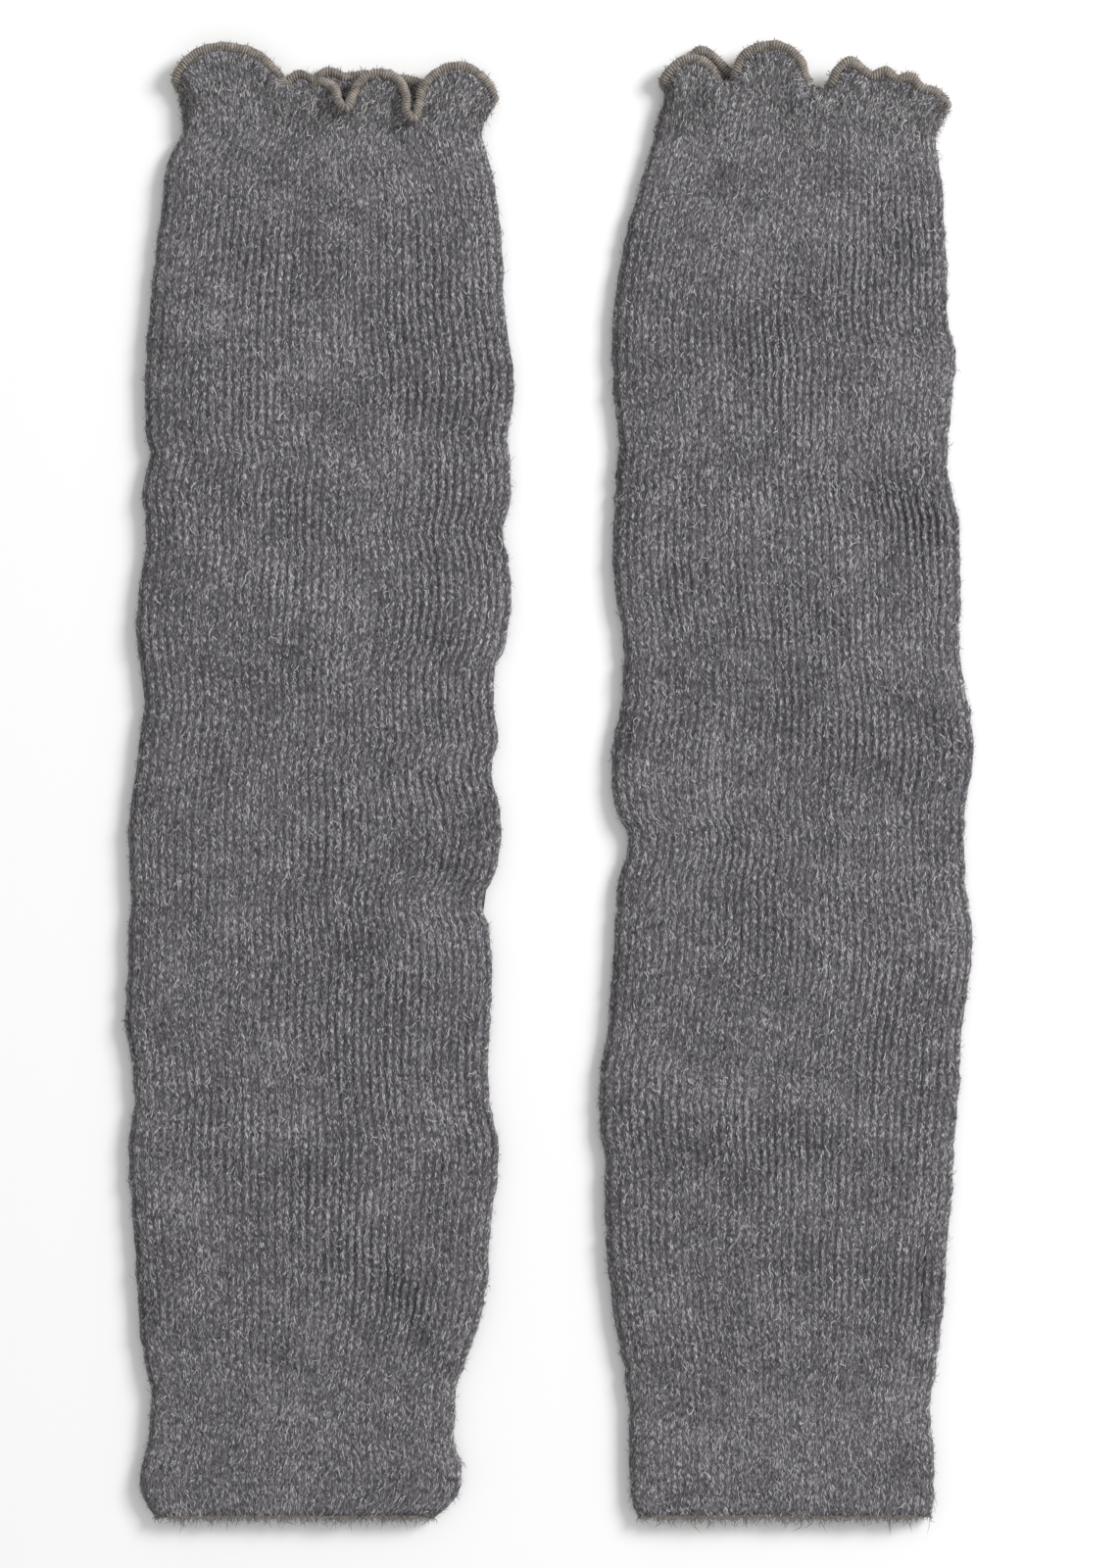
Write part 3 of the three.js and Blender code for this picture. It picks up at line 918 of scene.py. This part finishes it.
    def build_nap(self, cloth: tuple[np.ndarray, np.ndarray], roll: tuple[np.ndarray, np.ndarray],
                  material: bpy.types.Material) -> bpy.types.Object:
        """Build every loose fibre of this leg warmer as one piece.

        Args:
            cloth: the tube's outer points and their normals.
            roll: the edging's points and their normals.
            material: the fibre finish.

        Returns:
            The piece.
        """
        rng = np.random.default_rng(self.seed + 11)
        groups = (
            self.cloth_fibres(rng, *cloth),
            self.hem_fringe(rng, *cloth),
            self.edging_fuzz(rng, *roll),
        )
        root, normal, aim, length, lightness, warmth = (np.concatenate(parts) for parts in zip(*groups))
        total = len(root)
        across = unit(np.cross(aim, normal))
        bow = across * rng.normal(0, 0.20, (total, 1)) * length
        flat = across * rng.uniform(0.06, 0.13, (total, 1))
        lifted = root + normal * 0.05
        middle = lifted + aim * length * 0.5 + bow + normal * 0.08
        tip = lifted + aim * length
        points = np.stack([lifted - flat, lifted + flat, middle - flat, middle + flat, tip], axis=1)
        points[..., 2] = np.maximum(points[..., 2], self.fibre_rest_gap)
        start = (np.arange(total) * 5)[:, None, None]
        faces = (start + np.array([[0, 1, 3], [0, 3, 2], [2, 3, 4]])[None]).reshape(-1, 3)
        tone = np.stack([lightness, warmth, 0 * lightness], axis=1)
        return make_piece(f"{self.side.value}_nap", points.reshape(-1, 3), faces, material,
                          ("tone", np.repeat(tone, 5, axis=0)))

    def build(self, knit: bpy.types.Material, thread: bpy.types.Material,
              fibre: bpy.types.Material, surface: bpy.types.Object) -> None:
        """Build every piece of this leg warmer, attach each to the root body and hide the matching CAD
        parts.

        Args:
            knit: finish of the tube.
            thread: finish of the edging.
            fibre: finish of the nap.
            surface: what the leg warmer lies on; not used.
        """
        tube, outer, normals = self.build_tube(knit)
        edging, roll, roll_normals = self.build_edging(thread)
        nap = self.build_nap((outer, normals), (roll, roll_normals), fibre)
        for piece, slot in ((tube, "knit"), (edging, "edging"), (nap, "knit")):
            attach(piece, "root")
            LOG.info("%s: %d faces", piece.name, len(piece.data.polygons))
        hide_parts(f"{self.side.value}_tube")
        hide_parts(f"{self.side.value}_edging")


# ------------------------------------------------------------------------------------------
# The pair, section by section and bend by bend, in millimetres
# ------------------------------------------------------------------------------------------
LEFT_SECTIONS = (
    Section(-231.8, -124.0, -36.5, 5.8),
    Section(-227.0, -127.5, -31.0, 6.2),
    Section(-205.0, -126.5, -30.4, 6.4),
    Section(-192.0, -125.6, -29.4, 6.2),
    Section(-178.0, -128.6, -25.0, 6.6),
    Section(-165.0, -129.8, -21.1, 7.2),
    Section(-144.0, -131.0, -19.2, 7.4),
    Section(-125.0, -132.2, -17.0, 7.8),
    Section(-114.0, -132.4, -16.4, 7.4),
    Section(-103.0, -131.2, -19.3, 6.6),
    Section(-89.0, -132.0, -19.8, 7.4),
    Section(-77.0, -133.6, -19.2, 6.8),
    Section(-62.0, -132.8, -18.3, 7.8),
    Section(-47.0, -133.0, -19.5, 7.4),
    Section(-36.5, -131.9, -21.6, 6.4),
    Section(-29.0, -132.2, -17.8, 6.8),
    Section(-10.0, -132.4, -15.9, 8.2),
    Section(2.0, -130.6, -18.8, 7.2),
    Section(12.5, -129.6, -17.0, 7.6),
    Section(26.0, -128.0, -18.0, 7.0),
    Section(36.0, -128.8, -17.2, 6.4),
    Section(46.0, -129.8, -13.6, 7.4),
    Section(64.0, -129.0, -12.6, 8.2),
    Section(78.0, -127.2, -14.8, 7.2),
    Section(92.0, -128.2, -12.4, 7.8),
    Section(103.0, -126.0, -12.8, 7.2),
    Section(112.0, -127.6, -13.4, 6.4),
    Section(123.0, -127.6, -11.5, 7.6),
    Section(144.0, -126.4, -13.9, 7.8),
    Section(163.0, -124.4, -14.9, 7.6),
    Section(183.0, -122.2, -16.6, 7.2),
    Section(196.0, -120.6, -19.2, 6.8),
    Section(204.0, -115.4, -21.4, 6.2),
)

RIGHT_SECTIONS = (
    Section(-231.8, 28.0, 120.5, 5.8),
    Section(-227.0, 26.0, 121.0, 6.2),
    Section(-212.0, 25.2, 121.3, 6.4),
    Section(-196.0, 25.0, 120.0, 6.2),
    Section(-184.0, 23.4, 122.0, 6.4),
    Section(-170.0, 20.6, 123.6, 7.0),
    Section(-150.0, 18.4, 125.0, 7.4),
    Section(-134.0, 17.8, 126.6, 7.8),
    Section(-120.0, 17.6, 127.2, 7.2),
    Section(-106.0, 15.8, 128.2, 7.6),
    Section(-93.0, 16.0, 129.2, 6.4),
    Section(-80.0, 18.4, 129.6, 6.8),
    Section(-62.0, 19.9, 132.4, 7.6),
    Section(-46.0, 20.8, 133.0, 7.8),
    Section(-32.0, 21.8, 131.2, 7.2),
    Section(-20.0, 25.2, 130.4, 6.4),
    Section(-6.0, 20.6, 131.4, 7.8),
    Section(10.0, 20.0, 133.6, 7.4),
    Section(20.0, 22.0, 133.0, 7.0),
    Section(32.0, 23.4, 130.4, 6.8),
    Section(46.0, 23.4, 129.2, 6.6),
    Section(62.0, 20.6, 129.6, 7.8),
    Section(80.0, 20.2, 128.8, 7.8),
    Section(97.0, 21.4, 125.8, 6.8),
    Section(109.0, 22.2, 125.6, 7.4),
    Section(124.0, 20.2, 127.4, 7.6),
    Section(134.0, 20.0, 128.2, 7.4),
    Section(143.0, 19.8, 126.0, 6.4),
    Section(158.0, 21.8, 125.2, 7.6),
    Section(173.0, 24.6, 124.8, 7.2),
    Section(184.0, 27.6, 124.0, 6.4),
    Section(194.0, 30.2, 122.8, 6.6),
    Section(203.0, 33.2, 122.2, 6.2),
)

LEFT_FRONT_EDGE = (
    Bend(-116.8, 218.2, 2.8, 0),
    Bend(-115.2, 223.2, 5.4, 0),
    Bend(-109.8, 228.2, 5.8, 10),
    Bend(-101, 229.6, 6.2, 10),
    Bend(-92, 227, 5.6, 0),
    Bend(-86.4, 221.6, 5.6, -20),
    Bend(-82, 217.4, 5.4, -75),
    Bend(-75.4, 217.4, 5.4, -75),
    Bend(-71.4, 218.6, 6.4, 0),
    Bend(-68.8, 217.2, 7.2, 35),
    Bend(-66.8, 213.2, 8.4, 62),
    Bend(-63.8, 211.4, 8.9, 75),
    Bend(-61.2, 214.4, 8.2, 50),
    Bend(-58.6, 218.8, 7, 20),
    Bend(-53.6, 221.4, 6.4, 10),
    Bend(-48.6, 219.4, 6.8, 15),
    Bend(-46.2, 214.6, 7.8, 40),
    Bend(-45.2, 210, 8.8, 70),
    Bend(-42.6, 208.2, 9, 78),
    Bend(-40.4, 211.2, 8.2, 55),
    Bend(-39, 216.6, 7, 25),
    Bend(-35.4, 221.2, 6.2, 10),
    Bend(-27.6, 223.6, 6, 10),
    Bend(-21.6, 220, 4.8, 0),
    Bend(-18, 214, 3.1, 0),
)

LEFT_BACK_EDGE = (
    Bend(-22, 213.6, 1.6, 0),
    Bend(-30, 216.2, 1.5, 0),
    Bend(-38, 215.6, 1.5, 0),
    Bend(-43, 219.6, 1.6, 0),
    Bend(-50, 220.4, 1.6, 0),
    Bend(-58, 221.6, 1.8, 0),
    Bend(-65, 221, 1.8, 0),
    Bend(-70, 222.6, 1.8, 0),
    Bend(-74.6, 220.2, 1.6, 0),
    Bend(-78.6, 221.8, 1.8, 0),
    Bend(-84, 217.2, 1.6, 0),
    Bend(-92, 216.6, 1.5, 0),
    Bend(-104, 219.6, 1.5, 0),
    Bend(-112, 216, 1.6, 0),
)

RIGHT_FRONT_EDGE = (
    Bend(37, 218.5, 2.6, 0),
    Bend(38.6, 222.1, 5.8, 0),
    Bend(43.8, 225.8, 6.2, 10),
    Bend(48.6, 224.6, 6, 5),
    Bend(51.2, 221.8, 5.8, -30),
    Bend(53.6, 219.8, 5.2, -78),
    Bend(57.6, 219.8, 5.2, -78),
    Bend(60, 222.4, 6.2, -20),
    Bend(61.6, 226.6, 6.6, 10),
    Bend(65.4, 229.2, 6.9, 15),
    Bend(74, 229.2, 6.9, 15),
    Bend(77.6, 226, 6.6, 10),
    Bend(79.2, 221.4, 6.2, -20),
    Bend(82.2, 217.6, 5.2, -78),
    Bend(87.4, 217, 5.2, -78),
    Bend(90, 218.8, 6.6, 10),
    Bend(91.4, 222.4, 7.4, 30),
    Bend(94.6, 225.2, 8, 40),
    Bend(98, 222.4, 6.6, 10),
    Bend(101.6, 220.4, 6.2, 10),
    Bend(105.5, 222.2, 6.8, 30),
    Bend(109.2, 219.4, 6.2, 10),
    Bend(112.8, 220.4, 6.6, 25),
    Bend(116.4, 216.8, 6, 10),
    Bend(120.8, 216, 5, 0),
    Bend(125.2, 212, 3.1, 0),
)

RIGHT_BACK_EDGE = (
    Bend(121.0, 211.4, 1.6, 0),
    Bend(112.0, 214.4, 1.5, 0),
    Bend(99.0, 214.0, 1.5, 0),
    Bend(88.0, 214.6, 1.5, 0),
    Bend(76.0, 219.8, 1.5, 0),
    Bend(64.0, 217.0, 1.5, 0),
    Bend(55.0, 223.4, 1.6, 0),
    Bend(48.0, 229.2, 2.4, 0),
    Bend(41.5, 217.5, 1.6, 0),
)

LEFT_CREASES = (
    Crease(-107.3, 197.6, -84, 185, 1.5, 4.5),
    Crease(-88, 187, -54.6, 170.3, 1.4, 5),
    Crease(-52, 114, -25, 112, 1.2, 6),
    Crease(-84, 118, -70, 113, 0.8, 5),
    Crease(-125.9, 33.3, -96.4, 31.8, 1, 2.4),
    Crease(-49.9, 42.6, -28.2, 42.6, 0.9, 2.6),
    Crease(-46.2, 7.6, -15.8, -7.9, -0.9, 3.6),
    Crease(-42, 18, -24, 9.5, 1.1, 4),
    Crease(-126, -17, -95, -20, 0.8, 5),
    Crease(-49.9, -25.6, -20, -36.4, 1.2, 4),
    Crease(-42, -69, -22, -77, 1.1, 4),
    Crease(-130.5, -84.5, -93.3, -84.5, 1, 4.5),
    Crease(-48, -95, -33, -96, 0.9, 4),
    Crease(-120, -122, -40, -134, 0.8, 6),
    Crease(-53, -152.7, -37.5, -186.8, 1, 5),
    Crease(-104, 72, -72, 66, 0.5, 7),
    Crease(-80, -48, -58, -58, 0.5, 6),
)

RIGHT_CREASES = (
    Crease(33.8, 185.2, 61.7, 186, 0.8, 6),
    Crease(83.4, 185, 120.6, 184, 0.8, 6),
    Crease(40, 138.7, 123.7, 138, 0.9, 3.4),
    Crease(83.4, 150, 118, 148, 0.9, 8),
    Crease(102, 80, 122, 75, 1.1, 8),
    Crease(104, 25, 127, 10, 1.3, 6),
    Crease(43, 36.4, 105, 36.4, -0.7, 6),
    Crease(24.5, -19.4, 61.7, -19.4, -0.7, 5),
    Crease(83.4, -16, 96, -17, -0.6, 5),
    Crease(18.3, -89, 90, -98, 1.2, 5),
    Crease(86, -97, 117.5, -112.4, 1.2, 5),
    Crease(40, -140.3, 55.5, -149.6, 1, 5),
    Crease(117.5, -146.5, 117.5, -174.4, 1, 3),
    Crease(60, -222, 69, -227, 0.6, 4),
    Crease(94, -217, 103, -221, 0.6, 4),
    Crease(60, 94, 84, 88, 0.5, 6),
    Crease(30, -48, 58, -54, 0.5, 6),
)


# ------------------------------------------------------------------------------------------
# Studio
# ------------------------------------------------------------------------------------------
@dataclass
class Studio:
    """Pale surface, soft light and the camera straight above."""

    long_side: float = 496.0
    lens: float = 100.0
    sensor: float = 36.0
    centre_x: float = 3.3
    centre_y: float = -0.8
    surface_half: float = 1.6
    sky_strength: float = 0.60
    key_place: tuple[float, float, float] = (1.9, 1.1, 1.5)
    key_size: float = 0.9
    key_power: float = 66.0

    def surface(self) -> bpy.types.Object:
        """Lay the surface.

        Returns:
            The surface.
        """
        half = self.surface_half
        mesh = bpy.data.meshes.new("pale_surface")
        corners = [(-half, -half, 0.0), (half, -half, 0.0), (half, half, 0.0), (-half, half, 0.0)]
        mesh.from_pydata(corners, [], [(0, 1, 2, 3)])
        mesh.materials.append(SurfaceFinish().material())
        plane = bpy.data.objects.new("pale_surface", mesh)
        bpy.context.scene.collection.objects.link(plane)
        return plane

    def light(self) -> None:
        """Set the soft light: an even sky, and a key from the upper right."""
        world = bpy.data.worlds.new("soft_sky")
        world.use_nodes = True
        sky = world.node_tree.nodes["Background"]
        sky.inputs[0].default_value = (1.0, 1.0, 1.0, 1.0)
        sky.inputs[1].default_value = self.sky_strength
        bpy.context.scene.world = world
        lamp = bpy.data.lights.new("key", "AREA")
        lamp.size = self.key_size
        lamp.energy = self.key_power
        holder = bpy.data.objects.new("key", lamp)
        holder.location = self.key_place
        holder.rotation_euler = (-Vector(self.key_place)).to_track_quat("-Z", "Y").to_euler()
        bpy.context.scene.collection.objects.link(holder)

    def camera(self) -> None:
        """Place the camera straight above the pair."""
        lens = bpy.data.cameras.new("camera")
        lens.lens = self.lens
        lens.sensor_width = self.sensor
        eye = bpy.data.objects.new("camera", lens)
        distance = self.long_side * self.lens / self.sensor
        eye.location = (self.centre_x * MM, self.centre_y * MM, distance * MM)
        bpy.context.scene.collection.objects.link(eye)
        bpy.context.scene.camera = eye


def main() -> None:
    """Build the studio and both leg warmers."""
    logging.basicConfig(level=logging.INFO, format="%(name)s: %(message)s")
    bpy.context.scene.view_settings.view_transform = "Standard"
    studio = Studio()
    studio.camera()
    studio.light()
    surface = studio.surface()
    knit, thread, fibre = KnitFinish().material(), ThreadFinish().material(), FibreFinish().material()
    pair = (
        LegWarmer(Side.LEFT, LEFT_SECTIONS, LEFT_CREASES, LEFT_FRONT_EDGE, LEFT_BACK_EDGE, 1.0, 40),
        LegWarmer(Side.RIGHT, RIGHT_SECTIONS, RIGHT_CREASES, RIGHT_FRONT_EDGE, RIGHT_BACK_EDGE, 0.5, 80),
    )
    for warmer in pair:
        warmer.build(knit, thread, fibre, surface)


if __name__ == "__main__":
    main()
